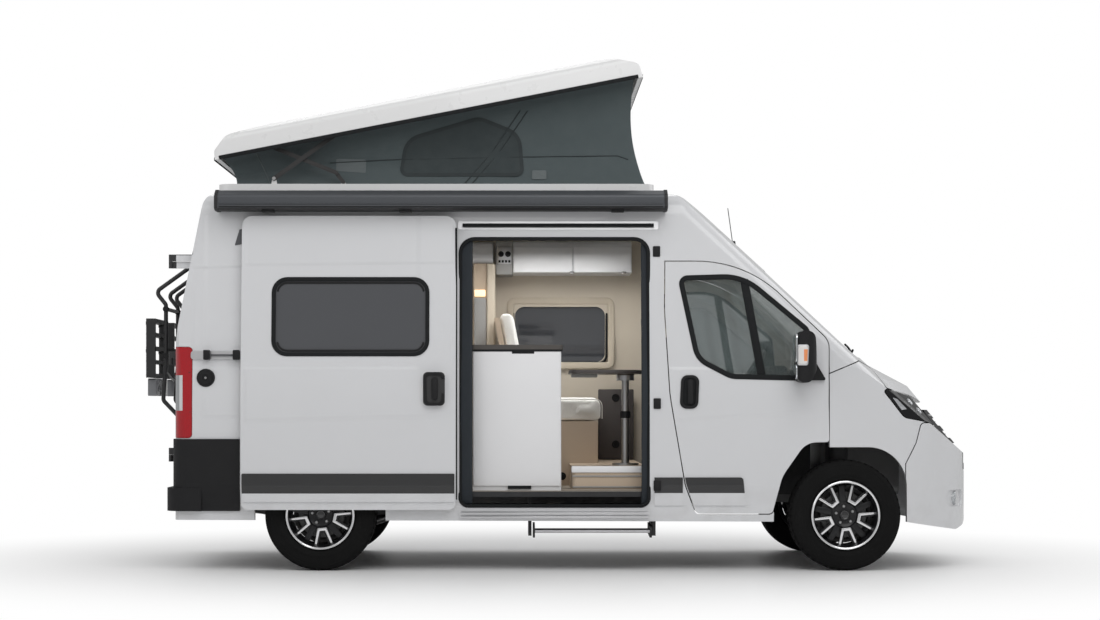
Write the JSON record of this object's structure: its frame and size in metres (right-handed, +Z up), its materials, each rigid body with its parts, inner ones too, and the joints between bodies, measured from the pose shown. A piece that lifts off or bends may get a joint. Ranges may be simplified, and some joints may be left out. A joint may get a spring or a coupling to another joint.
{
  "type": "camper van with pop-up roof",
  "caption": "Panel van camper with a raised pop-up roof and tent, open sliding door, awning, entry step, rear rack and fitted living area.",
  "frame": {"origin": "on the ground, midway along the overall length and on the centre plane", "axes": "+X forward, +Y to the driver's left, +Z up"},
  "size_m": [5.6, 2.508, 3.3923],
  "materials": {
    "white_paint": "gloss white body paint",
    "white_gelcoat": "white moulded shell",
    "glass": "clear laminated glass",
    "tinted_glass": "dark tinted glass",
    "lamp_clear": "clear lamp lens",
    "lamp_red": "red lamp lens",
    "black_plastic": "grained black plastic",
    "aluminium": "satin aluminium",
    "cast_iron": "cast metal",
    "chassis_black": "black underbody coating",
    "brushed_steel": "plain steel",
    "link_steel": "dark coated steel",
    "tent_fabric": "grey-green tent cloth",
    "awning_grey": "dark grey anodised case",
    "white_laminate": "white furniture laminate",
    "beige_laminate": "beige furniture laminate",
    "seat_fabric": "light seat fabric",
    "mattress_fabric": "grey mattress ticking",
    "cab_fabric": "dark cab seat fabric",
    "dark_trim": "dark dashboard plastic",
    "rack_black": "black powder-coated tube",
    "tyre_rubber": "road tyre",
    "black_alloy": "black alloy with machined faces"
  },
  "bodies": {
    "van": {"awning": "awning_grey", "cab_floor": "chassis_black", "cab_seats": "cab_fabric", "cab_shell": "white_paint", "chassis": "chassis_black", "cushions": "seat_fabric", "dashboard": "dark_trim", "door_rails": "aluminium", "engine": "cast_iron", "exhaust": "brushed_steel", "fenders": "white_paint", "front_bumper": "white_paint", "front_subframe": "chassis_black", "furniture": "beige_laminate", "grille": "black_plastic", "headlamps": "lamp_clear", "kitchen": "white_laminate", "mattress": "mattress_fabric", "rear_axle": "chassis_black", "rear_bumper": "black_plastic", "roof_frame": "white_gelcoat", "roof_panel": "white_paint", "side_left": "white_paint", "side_right": "white_paint", "sliding_door": "white_paint", "steering_wheel": "dark_trim", "table": "beige_laminate", "tail_lamps": "lamp_red", "tent": "tent_fabric", "underbody": "chassis_black", "windows": "tinted_glass", "windscreen": "glass"},
    "steering_right": {"knuckle_right": "chassis_black"},
    "steering_left": {"knuckle_left": "chassis_black"},
    "bonnet_lid": {"bonnet": "white_paint"},
    "entry_step_tray": {"entry_step": "aluminium"},
    "pop_roof": {"roof_shell": "white_gelcoat"},
    "long_arms": {"long_arm": "link_steel"},
    "cross_arms": {"cross_arm": "link_steel"},
    "short_links": {"short_link": "link_steel"},
    "cab_door_right_body": {"cab_door_right": "white_paint", "cab_glass_right": "tinted_glass", "mirror_right": "black_plastic"},
    "rear_door_right_body": {"rear_door_right": "white_paint", "rear_glass_right": "tinted_glass", "rack_right": "rack_black"},
    "wheel_front_right": {"tyre_front_right": "tyre_rubber", "rim_front_right": "black_alloy"},
    "wheel_rear_right": {"tyre_rear_right": "tyre_rubber", "rim_rear_right": "black_alloy"},
    "cab_door_left_body": {"cab_door_left": "white_paint", "cab_glass_left": "tinted_glass", "mirror_left": "black_plastic"},
    "rear_door_left_body": {"rear_door_left": "white_paint", "rear_glass_left": "tinted_glass", "rack_left": "rack_black"},
    "wheel_front_left": {"tyre_front_left": "tyre_rubber", "rim_front_left": "black_alloy"},
    "wheel_rear_left": {"tyre_rear_left": "tyre_rubber", "rim_rear_left": "black_alloy"}
  },
  "joints": [
    {"name": "steer_right", "type": "hinge", "parent": "van", "child": "steering_right", "pos_m": [1.852, -0.82, 0.365], "axis": [0, 0, 1], "range_deg": [-35, 35]},
    {"name": "spin_front_right", "type": "hinge", "parent": "steering_right", "child": "wheel_front_right", "pos_m": [1.852, -0.905, 0.365], "axis": [0, 1, 0], "continuous": true},
    {"name": "spin_rear_right", "type": "hinge", "parent": "van", "child": "wheel_rear_right", "pos_m": [-1.598, -0.895, 0.365], "axis": [0, 1, 0], "continuous": true},
    {"name": "cab_door_right_hinge", "type": "hinge", "parent": "van", "child": "cab_door_right_body", "pos_m": [1.748, -1.022, 1.1], "axis": [0, 0, 1], "range_deg": [0, 70]},
    {"name": "rear_door_right_hinge", "type": "hinge", "parent": "van", "child": "rear_door_right_body", "pos_m": [-2.6, -0.8715, 1.4], "axis": [0, 0, 1], "range_deg": [0, 180]},
    {"name": "steer_left", "type": "hinge", "parent": "van", "child": "steering_left", "pos_m": [1.852, 0.82, 0.365], "axis": [0, 0, 1], "range_deg": [-35, 35]},
    {"name": "spin_front_left", "type": "hinge", "parent": "steering_left", "child": "wheel_front_left", "pos_m": [1.852, 0.905, 0.365], "axis": [0, 1, 0], "continuous": true},
    {"name": "spin_rear_left", "type": "hinge", "parent": "van", "child": "wheel_rear_left", "pos_m": [-1.598, 0.895, 0.365], "axis": [0, 1, 0], "continuous": true},
    {"name": "cab_door_left_hinge", "type": "hinge", "parent": "van", "child": "cab_door_left_body", "pos_m": [1.748, 1.022, 1.1], "axis": [0, 0, -1], "range_deg": [0, 70]},
    {"name": "rear_door_left_hinge", "type": "hinge", "parent": "van", "child": "rear_door_left_body", "pos_m": [-2.6, 0.8715, 1.4], "axis": [0, 0, -1], "range_deg": [0, 180]},
    {"name": "roof_lift", "type": "hinge", "parent": "van", "child": "pop_roof", "pos_m": [-3.05559, 0, 2.23319], "axis": [0, -1, 0], "range_deg": [-10.97, 0], "deforming": ["tent"]},
    {"name": "long_arm_swing", "type": "hinge", "parent": "van", "child": "long_arms", "pos_m": [-1.923, 0, 2.597], "axis": [0, -1, 0], "range_deg": [-35.67, 0]},
    {"name": "cross_arm_swing", "type": "hinge", "parent": "pop_roof", "child": "cross_arms", "pos_m": [-1.95534, 0, 2.81699], "axis": [0, -1, 0], "range_deg": [0, 32.05]},
    {"name": "short_link_swing", "type": "hinge", "parent": "van", "child": "short_links", "pos_m": [-1.46417, 0, 2.575], "axis": [0, -1, 0], "range_deg": [-117.06, 0]},
    {"name": "bonnet_hinge", "type": "hinge", "parent": "van", "child": "bonnet_lid", "pos_m": [2.088, 0, 1.396], "axis": [0, -1, 0], "range_deg": [0, 50]},
    {"name": "step_slide", "type": "slide", "parent": "van", "child": "entry_step_tray", "axis": [0, -1, 0], "range_m": [0, 0.25]}
  ],
  "couplings": [
    {"joint": "steer_left", "follows": "steer_right", "ratio": 1},
    {"joint": "long_arm_swing", "follows": "roof_lift", "ratio": 3.2473},
    {"joint": "cross_arm_swing", "follows": "roof_lift", "ratio": -2.9171},
    {"joint": "short_link_swing", "follows": "roof_lift", "ratio": 10.669}
  ]
}
